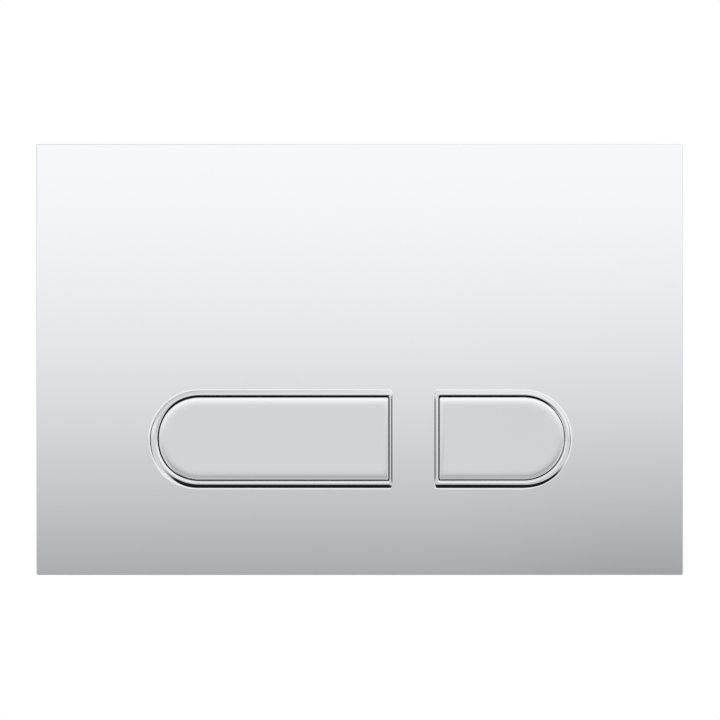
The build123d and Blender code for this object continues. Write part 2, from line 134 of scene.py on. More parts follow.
class Nodes:
    """Shader nodes of one material or of the world, with short calls to add and join them."""

    def __init__(self, tree: bpy.types.NodeTree) -> None:
        """Keep the tree that nodes are added to."""
        self.tree = tree

    def add(self, kind: str, inputs: dict | None = None, **settings: object) -> bpy.types.Node:
        """Add a node.

        Args:
            kind: Blender's name for the type of node.
            inputs: Values, or sockets to link, by the name or number of the input.
            settings: Properties of the node.

        Returns:
            The new node.
        """
        node = self.tree.nodes.new(kind)
        for name, value in settings.items():
            setattr(node, name, value)
        for name, value in (inputs or {}).items():
            self.put(node.inputs[name], value)
        return node

    def put(self, socket: Socket, value: object) -> None:
        """Link a socket to an input, or set the input's own value.

        Args:
            socket: The input.
            value: An output socket, a number or a vector.
        """
        if isinstance(value, Socket):
            self.tree.links.new(value, socket)
        else:
            socket.default_value = value

    def math(self, operation: str, *values: object) -> Socket:
        """Return the result of a math operation on numbers or sockets."""
        return self.add("ShaderNodeMath", dict(enumerate(values)), operation=operation).outputs[0]

    def times(self, first: object, second: object) -> Socket:
        """Return the product of two numbers or sockets."""
        return self.math("MULTIPLY", first, second)

    def less(self, first: object, second: object) -> Socket:
        """Return the first number or socket less the second."""
        return self.math("SUBTRACT", first, second)

    def degrees(self, operation: str, *values: object) -> Socket:
        """Return the result of an operation that gives an angle, in degrees."""
        return self.math("DEGREES", self.math(operation, *values))

    def rise(self, value: object, start: float, end: float, low: float = 0.0, high: float = 1.0) -> Socket:
        """Return a smooth step of a value: low up to the start, high from the end on."""
        inputs = {0: value, 1: start, 2: end, 3: low, 4: high}
        return self.add("ShaderNodeMapRange", inputs, interpolation_type="SMOOTHSTEP").outputs[0]

    def spread(self, value: object, low: float, high: float) -> Socket:
        """Return a value from 0 to 1 mapped onto a range."""
        return self.add("ShaderNodeMapRange", {0: value, 3: low, 4: high}).outputs[0]

    def level(self, factor: object, first: object, second: object) -> Socket:
        """Return a mix of two numbers, where the factor is the share of the second."""
        return self.add("ShaderNodeMix", {0: factor, 2: first, 3: second}, data_type="FLOAT").outputs[0]

    def blend(self, factor: object, first: object, second: object) -> Socket:
        """Mix two colours.

        Args:
            factor: Share of the second colour.
            first: Colour at 0.
            second: Colour at 1.

        Returns:
            The result's socket.
        """
        node = self.add("ShaderNodeMix", {"Factor": factor}, data_type="RGBA")
        for number, color in ((6, first), (7, second)):
            self.put(node.inputs[number], color if isinstance(color, Socket) else (*color, 1.0))
        return node.outputs[2]

    def place(self) -> Socket:
        """Return the piece's own coordinates, in metres."""
        return self.add("ShaderNodeTexCoord").outputs["Object"]

    def noise(self, place: Socket, scale: float, detail: float) -> Socket:
        """Return a noise of so many blotches per metre, with finer layers."""
        inputs = {"Vector": place, "Scale": scale, "Detail": detail}
        return self.add("ShaderNodeTexNoise", inputs).outputs[0]

    def bump(self, height: Socket, depth: float, strength: float = 1.0) -> Socket:
        """Return the normal of a relief of a depth in millimetres, and the share of it that shows."""
        inputs = {"Height": height, "Distance": depth * MM, "Strength": strength}
        return self.add("ShaderNodeBump", inputs).outputs[0]


@dataclass(frozen=True)
class Finish:
    """One finish: a material of its own name that belongs to a slot of the record.

    The gloss is what the lowest and the highest roughness add to the roughness. A noise is its blotches per
    metre and its finer layers, and a relief is its depth and the share of it that shows.
    """

    name: str
    slot: Slot
    color: Color
    roughness: float = 0.45
    gloss: Pair = (0.0, 0.0)

    def material(self) -> bpy.types.Material:
        """Find the material, or make it on first use.

        Returns:
            The material.
        """
        known = bpy.data.materials.get(self.name)
        if known is not None:
            return known
        made = bpy.data.materials.new(self.name)
        made.use_nodes = True
        shader = made.node_tree.nodes["Principled BSDF"]
        shader.inputs["Base Color"].default_value = (*self.color, 1.0)
        self.dress(Nodes(made.node_tree), shader.inputs)
        return made

    def dress(self, nodes: Nodes, shader: Inputs) -> None:
        """Add the finish's own nodes to the inputs of the material's shader."""
        raise NotImplementedError

    def tone(self, times: float, plus: float = 0.0) -> Color:
        """Return the colour times a number, plus another."""
        return tuple(value * times + plus for value in self.color)

    def uneven(self, nodes: Nodes, clouds: Socket) -> Socket:
        """Return a roughness that follows the clouds, over the range of the gloss."""
        return nodes.spread(clouds, *(self.roughness + step for step in self.gloss))

    def apply(self, piece: Piece) -> None:
        """Give a piece this finish.

        Args:
            piece: A new piece or a CAD node.
        """
        piece.data.materials.clear()
        piece.data.materials.append(self.material())


@dataclass(frozen=True)
class ChromePlating(Finish):
    """Bright chrome on moulded plastic: a mirror in front, duller on the hidden side."""

    roughness: float = 0.035
    gloss: Pair = (0.0, 0.02)
    haze: Pair = (55.0, 4.0)
    hidden_roughness: float = 0.28
    hidden_y: Pair = (-40.4, -39.8)
    ripple: Pair = (120.0, 1.0)
    ripple_depth: float = 0.0006

    def dress(self, nodes: Nodes, shader: Inputs) -> None:
        """Add haze in patches, a dull rear and the faint ripple of a moulded surface.

        Args:
            nodes: The material's nodes.
            shader: Inputs of its shader.
        """
        place = nodes.place()
        depth = nodes.add("ShaderNodeSeparateXYZ", {0: place}).outputs[1]
        hidden = nodes.rise(depth, *(y * MM for y in self.hidden_y))
        patches = self.uneven(nodes, nodes.noise(place, *self.haze))
        nodes.put(shader["Roughness"], nodes.level(hidden, patches, self.hidden_roughness))
        nodes.put(shader["Metallic"], 1.0)
        nodes.put(shader["Normal"], nodes.bump(nodes.noise(place, *self.ripple), self.ripple_depth))


@dataclass(frozen=True)
class MouldedPlastic(Finish):
    """Injection moulded plastic with a fine grain, slight mottling and dust in its pores."""

    gloss: Pair = (-0.08, 0.22)
    clouds: Pair = (70.0, 5.0)
    mottle: float = 0.10
    grain: Pair = (2600.0, 2.0)
    relief: Pair = (0.02, 0.5)

    def dress(self, nodes: Nodes, shader: Inputs) -> None:
        """Add mottled colour, uneven gloss and the grain.

        Args:
            nodes: The material's nodes.
            shader: Inputs of its shader.
        """
        place = nodes.place()
        clouds = nodes.noise(place, *self.clouds)
        fine = nodes.noise(place, *self.grain)
        nodes.put(shader["Base Color"], nodes.blend(clouds, self.color, self.tone(1.0 - 2.0 * self.mottle)))
        nodes.put(shader["Roughness"], self.uneven(nodes, nodes.times(clouds, fine)))
        nodes.put(shader["Normal"], nodes.bump(fine, *self.relief))


@dataclass(frozen=True)
class ZincPlate(Finish):
    """Bright zinc on steel: cloudy passivation and fine turning lines across the axis."""

    roughness: float = 0.26
    gloss: Pair = (-0.08, 0.16)
    clouds: Pair = (240.0, 4.0)
    dull: float = 0.72
    line_pitch: float = 0.35
    line_length: float = 60.0
    lines: Pair = (1.0, 2.0)
    relief: Pair = (0.01, 0.6)

    def dress(self, nodes: Nodes, shader: Inputs) -> None:
        """Add the clouds and the lines.

        Args:
            nodes: The material's nodes.
            shader: Inputs of its shader.
        """
        place = nodes.place()
        clouds = nodes.noise(place, *self.clouds)
        nodes.put(shader["Base Color"], nodes.blend(clouds, self.color, self.tone(self.dull)))
        nodes.put(shader["Metallic"], 1.0)
        nodes.put(shader["Roughness"], self.uneven(nodes, clouds))
        scale = (self.line_length, 1.0 / (self.line_pitch * MM), self.line_length)
        stretched = nodes.add("ShaderNodeMapping", {"Vector": place, "Scale": scale}).outputs[0]
        nodes.put(shader["Normal"], nodes.bump(nodes.noise(stretched, *self.lines), *self.relief))


@dataclass(frozen=True)
class DrawnWire(Finish):
    """Drawn stainless wire with long fine streaks."""

    roughness: float = 0.22
    gloss: Pair = (0.0, 0.15)
    streaks: Pair = (900.0, 3.0)
    dull: float = 0.7

    def dress(self, nodes: Nodes, shader: Inputs) -> None:
        """Add the streaks.

        Args:
            nodes: The material's nodes.
            shader: Inputs of its shader.
        """
        streaks = nodes.noise(nodes.place(), *self.streaks)
        nodes.put(shader["Base Color"], nodes.blend(streaks, self.color, self.tone(self.dull)))
        nodes.put(shader["Metallic"], 1.0)
        nodes.put(shader["Roughness"], self.uneven(nodes, streaks))


@dataclass(frozen=True)
class MouldedRubber(Finish):
    """Matt rubber with a fine bloom."""

    roughness: float = 0.82
    gloss: Pair = (-0.06, 0.1)
    bloom: Pair = (300.0, 4.0)
    pale: float = 0.03
    grain: Pair = (4000.0, 2.0)
    relief: Pair = (0.02, 0.5)

    def dress(self, nodes: Nodes, shader: Inputs) -> None:
        """Add the bloom and a fine grain.

        Args:
            nodes: The material's nodes.
            shader: Inputs of its shader.
        """
        place = nodes.place()
        bloom = nodes.noise(place, *self.bloom)
        nodes.put(shader["Base Color"], nodes.blend(bloom, self.color, self.tone(1.0, self.pale)))
        nodes.put(shader["Roughness"], self.uneven(nodes, bloom))
        nodes.put(shader["Normal"], nodes.bump(nodes.noise(place, *self.grain), *self.relief))


CHROME = ChromePlating("chrome_plating", Slot.CHROME, (0.925, 0.934, 0.962))
BLACK_PLASTIC = MouldedPlastic("black_plastic", Slot.BLACK_PLASTIC, (0.025, 0.025, 0.027), roughness=0.5)
WHITE_PLASTIC = MouldedPlastic("white_plastic", Slot.WHITE_PLASTIC, (0.80, 0.80, 0.78), mottle=0.025)
GREY_PLASTIC = MouldedPlastic("grey_plastic", Slot.GREY_PLASTIC, (0.33, 0.35, 0.37), roughness=0.4)
ROD_PLASTIC = MouldedPlastic("rod_plastic", Slot.ROD_PLASTIC, (0.72, 0.73, 0.72), roughness=0.3, mottle=0.04)
NUT_PLASTIC = MouldedPlastic("nut_plastic", Slot.NUT_PLASTIC, (0.10, 0.22, 0.42), roughness=0.42)
ZINC_STEEL = ZincPlate("zinc_steel", Slot.ZINC_STEEL, (0.66, 0.67, 0.68))
SPRING_STEEL = DrawnWire("spring_steel", Slot.SPRING_STEEL, (0.50, 0.50, 0.51))
RUBBER = MouldedRubber("stop_rubber", Slot.RUBBER, (0.03, 0.03, 0.03))


def around(middle: Pair, steps: int, section: Callable[[float], Pair]) -> list[Point]:
    """Points once round an axis along Y.

    Args:
        middle: X and Z of the axis.
        steps: Number of points.
        section: Gives radius and Y at a turn in radians.

    Returns:
        The points.
    """
    points = []
    for step in range(steps):
        turn = 2 * pi * step / steps
        radius, y = section(turn)
        points.append((middle[0] + radius * cos(turn), y, middle[1] + radius * sin(turn)))
    return points


def bends(steps: int, angle: float = 90.0) -> list[float]:
    """Return the turns of a bend in radians, from 0 to its whole angle in degrees."""
    return [radians(angle * step / steps) for step in range(steps + 1)]


def rounded(radius: float, start: float, end: float, edge: float, steps: int = 4) -> list[Pair]:
    """Profile of a disc with rounded edges.

    Args:
        radius: Outer radius.
        start: Y of the front face.
        end: Y of the rear face.
        edge: Radius of the edges.
        steps: Steps in an edge.

    Returns:
        Radius and Y of each ring, from front to rear.
    """
    front = [(radius - edge + edge * sin(turn), start + edge - edge * cos(turn)) for turn in bends(steps)]
    rear = [(radius - edge + edge * cos(turn), end - edge + edge * sin(turn)) for turn in bends(steps)]
    return front + rear


class Skin:
    """Mesh under construction: rows of points in millimetres, with faces between them."""

    def __init__(self, crease: float = 32.0) -> None:
        """Start an empty mesh, whose edges stay sharp past an angle in degrees."""
        self.mesh = bmesh.new()
        self.crease = crease

    def row(self, points: Iterable[Point]) -> Row:
        """Add points, and return their vertices in order."""
        return [self.mesh.verts.new(Vector(point) * MM) for point in points]

    def rings(self, middle: Pair, profile: Iterable[Pair], steps: int) -> list[Row]:
        """Add a circle round an axis along Y for each radius and Y of a profile, and return the rows."""
        return [self.row(around(middle, steps, lambda turn: (radius, y))) for radius, y in profile]

    def join(self, rows: Sequence[Row], ring: bool = False) -> None:
        """Put faces between closed rows of equal length.

        Args:
            rows: The rows, in order.
            ring: Also join the last row to the first.
        """
        after = [*rows[1:], rows[0]] if ring else rows[1:]
        for first, second in zip(rows, after):
            for number, corner in enumerate(first):
                following = (number + 1) % len(first)
                self.mesh.faces.new((corner, first[following], second[following], second[number]))

    def lid(self, *rows: Row) -> None:
        """Close each flat row with one face."""
        for row in rows:
            self.mesh.faces.new(row)

    def fill(self, *rows: Row) -> None:
        """Fill the flat space between an outer row and the rows inside it.

        Args:
            rows: Closed rows in one plane.
        """
        edges = []
        for row in rows:
            for ends in zip(row, [*row[1:], row[0]]):
                edges.append(self.mesh.edges.get(ends) or self.mesh.edges.new(ends))
        bmesh.ops.triangle_fill(self.mesh, edges=edges, use_beauty=True)

    def piece(self, name: str) -> Piece:
        """Finish the mesh.

        Args:
            name: Name of the piece.

        Returns:
            The piece, in the scene.
        """
        bmesh.ops.recalc_face_normals(self.mesh, faces=self.mesh.faces)
        data = bpy.data.meshes.new(name)
        self.mesh.to_mesh(data)
        self.mesh.free()
        data.shade_smooth()
        data.set_sharp_from_angle(angle=radians(self.crease))
        made = bpy.data.objects.new(name, data)
        bpy.context.scene.collection.objects.link(made)
        return made


@dataclass(frozen=True)
class Thread:
    """Threaded length along Y with chamfered ends; its depth is a share of the pitch."""

    start: float
    end: float
    radius: float
    pitch: float
    chamfer: float
    depth: float = 0.5
    flank: float = 2.6
    crest: float = 0.15
    steps: int = 28
    rows_per_turn: int = 6

    def section(self, y: float, turn: float) -> Pair:
        """Section of the thread.

        Args:
            y: Place along Y.
            turn: Turn about the axis in radians.

        Returns:
            Radius and Y there.
        """
        limit = self.radius - max(0.0, self.chamfer - min(y - self.start, self.end - y))
        phase = (y / self.pitch - turn / (2 * pi)) % 1.0
        cut = min(1.0, max(0.0, self.flank * abs(phase - 0.5) - self.crest))
        return min(self.radius - self.depth * self.pitch * cut, limit), y

    def add(self, skin: Skin, middle: Pair) -> list[Row]:
        """Add the thread to a mesh.

        Args:
            skin: Mesh that the thread goes into.
            middle: X and Z of the axis.

        Returns:
            The rings, from front to rear.
        """
        count = ceil((self.end - self.start) / self.pitch * self.rows_per_turn)
        rows = []
        for number in range(count + 1):
            y = self.start + (self.end - self.start) * number / count
            rows.append(skin.row(around(middle, self.steps, lambda turn: self.section(y, turn))))
        skin.join(rows)
        return rows


@dataclass(frozen=True)
class SoftEdges:
    """Softened edges of a CAD node, cut after its flat faces are made whole."""

    width: float
    weld: float = 0.002
    flat_angle: float = 0.5
    edge_angle: float = 40.0
    segments: int = 2

    def apply(self, piece: Piece) -> None:
        """Add the modifiers.

        Args:
            piece: Object of the CAD node.
        """
        weld = piece.modifiers.new("weld", "WELD")
        weld.merge_threshold = self.weld * MM
        flats = piece.modifiers.new("whole_flats", "DECIMATE")
        flats.decimate_type = "DISSOLVE"
        flats.angle_limit = radians(self.flat_angle)
        soften = piece.modifiers.new("soft_edges", "BEVEL")
        soften.width = self.width * MM
        soften.segments = self.segments
        soften.limit_method = "ANGLE"
        soften.angle_limit = radians(self.edge_angle)
        soften.use_clamp_overlap = True
        soften.harden_normals = True


def place_piece(skin: Skin, name: str, finish: Finish, body: str, node: str) -> Piece:
    """Finish a mesh and put it on its body in the place of its CAD node.

    Args:
        skin: The mesh.
        name: Name of the new piece.
        finish: Its finish.
        body: CAD body that it moves with.
        node: CAD node that it stands for.

    Returns:
        The piece.
    """
    piece = skin.piece(name)
    finish.apply(piece)
    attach(piece, body)
    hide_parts(node)
    log.info("%s made for %s on %s", name, node, body)
    return piece


def dress_node(node: str, finish: Finish, edge: float = 0.0) -> None:
    """Give a CAD node its finish and softer edges.

    Args:
        node: Name of the CAD node.
        finish: Its finish.
        edge: Width of the softened edges, or 0 for none.
    """
    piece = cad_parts[node]
    finish.apply(piece)
    if edge:
        SoftEdges(edge).apply(piece)
    log.info("%s dressed with %s", node, finish.name)


@dataclass(frozen=True)
class Levels:
    """Depths along Y that the pieces share, from the front of the caps to the seat of the studs."""

    cap_front: float = -43.1
    face: float = -42.1
    neck_rear: float = -38.8
    slider_front: float = -38.5
    slider_rear: float = -37.1
    carrier_front: float = -30.3
    carrier_rear: float = -27.9
    cup_seat: float = -24.6
    head_front: float = -17.1
    head_rear: float = -13.1
    locknut_rear: float = -10.1
    bush_front: float = -4.6
    bridge_front: float = -3.0
    bridge_rear: float = 0.0


LEVELS = Levels()


@dataclass(frozen=True)
class Outline:
    """Half stadium that the rim and the cap of a button follow: one round end and one straight side.

    The rim is wider at the round end and below: what lies inside its width is set in further there, and lies
    higher by the inner rise. The round end bulges past a half circle by the outer fullness at the rim's outer
    edge and by the inner fullness inside its width, each given for the upper and the lower quarter.
    """

    round_x: float
    side_x: float
    side_width: float
    end_widening: float
    inner_rise: float
    outer_fullness: Pair
    inner_fullness: Pair
    lower_widening: float = 0.35
    half_height: float = 18.675
    middle_z: float = BUTTON_Z
    widened_by: float = 2.85
    arc_steps: int = 72
    corner_steps: int = 8
    straight_steps: int = 14

    @property
    def facing(self) -> int:
        """+1 where the straight side lies to the right of the round end."""
        return 1 if self.side_x > self.round_x else -1

    def points(self, inset: float, side_inset: float, corner: float, y: float) -> list[Point]:
        """Points of the outline, set in from the rim's outer edge.

        Args:
            inset: Distance in from the round end and the long sides.
            side_inset: Distance in from the straight side.
            corner: Radius of the two corners.
            y: Place along Y.

        Returns:
            The points, once round, from the start of the upper long side.
        """
        share = min(1.0, inset / self.widened_by)
        lift = self.lower_widening * share / 2
        radius = self.half_height - inset - lift
        corner = min(corner, radius)
        arc_x = self.round_x + self.facing * (inset + self.end_widening * share + radius)
        side_x = self.side_x - self.facing * side_inset
        corner_x = side_x - self.facing * corner
        straight = [step / self.straight_steps for step in range(self.straight_steps)]
        quarter = [(corner * sin(turn), corner * cos(turn)) for turn in bends(self.corner_steps)[:-1]]
        flat = [(arc_x + (corner_x - arc_x) * part, radius) for part in straight]
        flat += [(corner_x + self.facing * out, radius - corner + up) for out, up in quarter]
        flat += [(side_x, (radius - corner) * (1 - 2 * part)) for part in straight]
        flat += [(corner_x + self.facing * out, corner - radius - down) for down, out in quarter]
        flat += [(corner_x + (arc_x - corner_x) * part, -radius) for part in straight]
        for turn in bends(self.arc_steps, 180.0)[:-1]:
            half = int(turn < pi / 2)
            fullness = self.outer_fullness[half] * (1 - share) + self.inner_fullness[half] * share
            reach = radius + fullness * sin(2 * turn) ** 2
            flat.append((arc_x - self.facing * reach * sin(turn), -reach * cos(turn)))
        middle = self.middle_z + lift + self.inner_rise * share
        return [(x, y, middle + rise) for x, rise in flat]


@dataclass(frozen=True)
class Rim:
    """Raised chromed rim: a domed lip on the face and a neck through the plate."""

    outline: Outline
    width: float = 2.85
    slope_w: float = 2.9
    slope_h: float = 1.05
    slope_turn: float = 69.0
    last_step: float = 0.2
    wall_w: float = 0.1
    chamfer_w: float = 0.41
    chamfer_steps: int = 4
    shoulder: float = 0.64
    side_shoulder: float = 0.2
    shoulder_falls: Pair = (0.10, 0.43)
    corner: float = 1.1
    inner_corner: float = 0.6
    neck_wall: float = 1.6
    neck_side_wall: float = 0.8
    kink: float = 0.02
    steps: int = 16

    def ring(self, skin: Skin, inset: float, side_inset: float, y: float) -> Row:
        """Add one closed row, set in from the rim's outer edge and from its straight side."""
        corner = self.corner + (self.inner_corner - self.corner) * inset / self.width
        return skin.row(self.outline.points(inset, side_inset, corner, y))

    def rise(self, step: float) -> float:
        """Return the height of a step of the slope over the plate's face."""
        return self.slope_h * sin(radians(self.slope_turn * step / self.steps))

    def slope(self, step: float) -> float:
        """Return the distance in of a step of the slope."""
        return self.slope_w * (1 - cos(radians(self.slope_turn * step / self.steps)))

    def side_slope(self, step: float) -> float:
        """Distance in on the straight side, where a steep wall ends in a flat chamfer.

        Args:
            step: Number of the step from the foot.

        Returns:
            The distance in from the rim's outer edge.
        """
        wall = self.rise(self.steps - self.chamfer_steps)
        if step <= self.steps - self.chamfer_steps:
            return self.wall_w * self.rise(step) / wall
        return self.wall_w + self.chamfer_w * (self.rise(step) - wall) / (self.rise(self.steps) - wall)

    def skin(self) -> Skin:
        """Make the mesh: the slope, the crest, the shoulder beside the cap, and the neck.

        Returns:
            The mesh.
        """
        skin = Skin()
        rows = []
        crest = LEVELS.face - self.rise(self.steps)
        for step in [*range(self.steps), self.steps - self.last_step, self.steps]:
            y = LEVELS.face - self.rise(step)
            rows.append(self.ring(skin, self.slope(step), self.side_slope(step), y))
        ledge, side_ledge = self.slope(self.steps), self.side_slope(self.steps)
        side_width = self.outline.side_width
        start, side_start = self.width - self.shoulder, side_width - self.side_shoulder
        rows.append(self.ring(skin, ledge + self.kink, side_ledge + self.kink, crest))
        rows.append(self.ring(skin, start - self.kink, side_start - self.kink, crest))
        first, last = self.shoulder_falls
        for step in range(self.steps + 1):
            share = step / self.steps
            y = crest + self.shoulder * (first * share + (last - first) * share ** 2 / 2)
            side_inset = side_start + self.side_shoulder * share
            rows.append(self.ring(skin, start + self.shoulder * share, side_inset, y))
        rows.append(self.ring(skin, self.width, side_width, LEVELS.neck_rear))
        inset, side_inset = self.width - self.neck_wall, side_width - self.neck_side_wall
        for y in (LEVELS.neck_rear, LEVELS.face):
            rows.append(skin.row(self.outline.points(inset, side_inset, self.corner, y)))
        skin.join(rows, ring=True)
        return skin


@dataclass(frozen=True)
class Cap:
    """Chromed push cap: a shell with a soft crown towards its edges and a very shallow dish.

    Against the rim it lies lower by the drop and, at the round end, further in by the end gap. The end lift
    makes its upper quarter there fuller and its lower quarter flatter.
    """

    outline: Outline
    end_gap: float
    drop: float = 0.05
    end_lift: float = 0.07
    inset: float = 3.21
    side_gap: float = 0.45
    corner: float = 0.6
    edge: float = 0.06
    edge_steps: int = 6
    crown_w: float = 2.6
    crown_side_w: float = 1.0
    crown_h: float = 0.11
    crown_power: float = 3.0
    crown_steps: int = 12
    dish: float = 0.07
    face_share: float = 0.96
    face_side_share: float = 0.1
    face_steps: int = 10
    wall: float = 1.8

    def ring(self, skin: Skin, inset: float, side_inset: float, y: float) -> Row:
        """Add one closed row of the cap.

        Args:
            skin: Mesh that the row goes into.
            inset: Distance in from the cap's edge on the long sides and the round end.
            side_inset: Distance in from the cap's edge on the straight side.
            y: Place along Y.

        Returns:
            The row.
        """
        above, below = self.outline.inner_fullness
        line = replace(
            self.outline,
            round_x=self.outline.round_x + self.outline.facing * self.end_gap,
            middle_z=self.outline.middle_z - self.drop,
            inner_fullness=(above + self.end_lift, below - self.end_lift),
        )
        from_side = line.side_width + self.side_gap + side_inset
        return skin.row(line.points(self.inset + inset, from_side, self.corner + side_inset, y))

    def skin(self) -> Skin:
        """Make the mesh, from the inside round the edge to the middle of the face.

        Returns:
            The mesh.
        """
        skin = Skin()
        rim_y = LEVELS.cap_front + self.crown_h
        rows = [
            self.ring(skin, self.wall, self.wall, rim_y + self.wall),
            self.ring(skin, self.wall, self.wall, LEVELS.slider_front),
            self.ring(skin, 0.0, 0.0, LEVELS.slider_front),
        ]
        for turn in bends(self.edge_steps)[:-1]:
            inset = self.edge * (1 - cos(turn))
            rows.append(self.ring(skin, inset, inset, rim_y + self.edge * (1 - sin(turn))))
        for step in range(1, self.crown_steps + 1):
            share = step / self.crown_steps
            y = rim_y - self.crown_h * (1 - (1 - share) ** self.crown_power)
            side_inset = self.edge + self.crown_side_w * share
            rows.append(self.ring(skin, self.edge + self.crown_w * share, side_inset, y))
        start, side_start = self.edge + self.crown_w, self.edge + self.crown_side_w
        reach = self.outline.half_height - self.inset - start
        for step in range(1, self.face_steps + 1):
            share = step / self.face_steps * self.face_share
            y = LEVELS.cap_front + self.dish * (1 - (1 - share) ** 2)
            side_inset = side_start + reach * share * self.face_side_share
            rows.append(self.ring(skin, start + reach * share, side_inset, y))
        skin.join(rows)
        skin.lid(rows[0], rows[-1])
        return skin


@dataclass(frozen=True)
class ReturnSpring:
    """Round wire coil with closed turns at both ends; their pitch is in radii of the wire."""

    x: float
    mean_r: float = 4.15
    wire_r: float = 0.35
    turns: int = 6
    closed_turns: float = 0.9
    closed_pitch: float = 2.06
    seat_gap: float = 0.1
    travel: float = 5.0
    steps: int = 30
    wire_steps: int = 10

    def depth(self, turn: float) -> float:
        """Place along Y of the wire's middle.

        Args:
            turn: Turns from the front end.

        Returns:
            The place, with closed turns at both ends.
        """
        start = LEVELS.slider_rear + self.seat_gap + self.wire_r
        end = LEVELS.cup_seat - self.seat_gap - self.wire_r
        close = self.closed_pitch * self.wire_r
        open_pitch = (end - start - 2 * close * self.closed_turns) / (self.turns - 2 * self.closed_turns)
        front = min(turn, self.closed_turns)
        rear = max(0.0, turn - self.turns + self.closed_turns)
        return start + close * (front + rear) + open_pitch * (turn - front - rear)

    def build(self, node: str, key: KeyName) -> None:
        """Make the spring, in one fixed shape.

        Args:
            node: CAD node that it stands for.
            key: The button that it returns; not used.
        """
        skin = Skin()
        along = Vector((0.0, 1.0, 0.0))
        rows = []
        for number in range(self.turns * self.steps + 1):
            turn = number / self.steps
            out = Vector((cos(2 * pi * turn), 0.0, sin(2 * pi * turn)))
            middle = Vector((self.x, self.depth(turn), BUTTON_Z)) + out * self.mean_r
            rolls = [2 * pi * step / self.wire_steps for step in range(self.wire_steps)]
            section = [out * cos(roll) + along * sin(roll) for roll in rolls]
            rows.append(skin.row(middle + offset * self.wire_r for offset in section))
        skin.join(rows)
        skin.lid(rows[0], rows[-1])
        piece = place_piece(skin, f"{node}_coil", SPRING_STEEL, PLATE, node)
        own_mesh(piece)


@dataclass(frozen=True)
class StopPads:
    """Two rubber pads above and below the plunger, with stems through the carrier."""

    x: float
    rise: float = 11.5
    radius: float = 3.5
    height: float = 1.5
    edge: float = 0.45
    stem_r: float = 1.5
    stem_tail: float = 0.6
    stem_chamfer: float = 0.3
    steps: int = 36

    def build(self, node: str) -> None:
        """Make both pads as one piece.

        Args:
            node: CAD node that they stand for.
        """
        seat, tail = LEVELS.carrier_front, LEVELS.carrier_rear + self.stem_tail
        disc = rounded(self.radius, seat - self.height, seat, self.edge)
        profile = [*disc[:len(disc) // 2], (self.radius, seat), (self.stem_r, seat)]
        profile += [(self.stem_r, tail - self.stem_chamfer), (self.stem_r - self.stem_chamfer, tail)]
        skin = Skin()
        for side in (-1, 1):
            rows = skin.rings((self.x, BUTTON_Z + side * self.rise), profile, self.steps)
            skin.join(rows)
            skin.lid(rows[0], rows[-1])
        place_piece(skin, f"{node}_rubber", RUBBER, PLATE, node)


@dataclass(frozen=True)
class PushButton:
    """One button with its rim, cap, slider, springs and pads."""

    key: KeyName
    outline: Outline
    end_gap: float
    post_offset: float
    slider_edge: float = 0.15

    def build(self) -> None:
        """Make and dress the button's pieces."""
        name = self.key.label
        place_piece(Rim(self.outline).skin(), f"{name}_rim", CHROME, PLATE, f"{name}_bezel")
        cap = Cap(self.outline, self.end_gap).skin()
        place_piece(cap, f"{name}_push_cap", CHROME, self.key.button, f"{name}_cap")
        dress_node(f"{name}_slider", BLACK_PLASTIC, self.slider_edge)
        for side in Side:
            spring = ReturnSpring(self.key.middle + side.sign * self.post_offset)
            spring.build(f"{name}_{side.value}_spring", self.key)
        StopPads(self.key.middle).build(f"{name}_stop_pads")


@dataclass(frozen=True)
class CarrierScrews:
    """Pan head screws with a cross recess, one piece for the group."""

    columns: tuple[float, ...] = (-80.25, 19.975, 80.25)
    rise: float = 20.175
    shank_r: float = 1.45
    bite: float = 6.5
    tip_r: float = 0.4
    tip_length: float = 1.2
    head_r: float = 2.8
    head_h: float = 2.0
    head_wall: float = 0.8
    crown_w: float = 1.0
    crown_turn: float = 76.0
    crown_steps: int = 5
    slot_w: float = 0.7
    slot_reach: float = 1.55
    slot_depth: float = 1.1
    slot_floor: float = 0.55
    steps: int = 36

    def cross(self, middle: Pair, share: float, y: float) -> list[Point]:
        """Points of the recess.

        Args:
            middle: X and Z of the screw.
            share: Size, where 1 is the mouth.
            y: Place along Y.

        Returns:
            The twelve corners of the cross.
        """
        half, reach = self.slot_w / 2 * share, self.slot_reach * share
        quarter = [(reach, -half), (reach, half), (half, half)]
        corners = []
        for turn in range(4):
            c, s = round(cos(turn * pi / 2)), round(sin(turn * pi / 2))
            corners += [(x * c - z * s, x * s + z * c) for x, z in quarter]
        return [(middle[0] + x, y, middle[1] + z) for x, z in corners]

    def profile(self) -> list[Pair]:
        """Profile of a screw.

        Returns:
            Radius and Y of each ring, from the tip to the top of the head.
        """
        tip, seat = LEVELS.carrier_front - self.bite, LEVELS.carrier_rear
        rings = [(self.tip_r, tip), (self.shank_r, tip + self.tip_length)]
        rings += [(self.shank_r, seat), (self.head_r, seat)]
        crown_h = (self.head_h - self.head_wall) / sin(radians(self.crown_turn))
        for turn in bends(self.crown_steps, self.crown_turn):
            radius = self.head_r - self.crown_w * (1 - cos(turn))
            rings.append((radius, seat + self.head_wall + crown_h * sin(turn)))
        return rings

    def build(self) -> None:
        """Make the screws."""
        skin = Skin()
        top = LEVELS.carrier_rear + self.head_h
        for middle in [(x, BUTTON_Z + side * self.rise) for x in self.columns for side in (-1, 1)]:
            rows = skin.rings(middle, self.profile(), self.steps)
            skin.join(rows)
            mouth = skin.row(self.cross(middle, 1.0, top))
            floor = skin.row(self.cross(middle, self.slot_floor, top - self.slot_depth))
            skin.fill(rows[-1], mouth)
            skin.join([mouth, floor])
            skin.lid(rows[0], floor)
        place_piece(skin, "carrier_screw_set", ZINC_STEEL, PLATE, "carrier_screws")


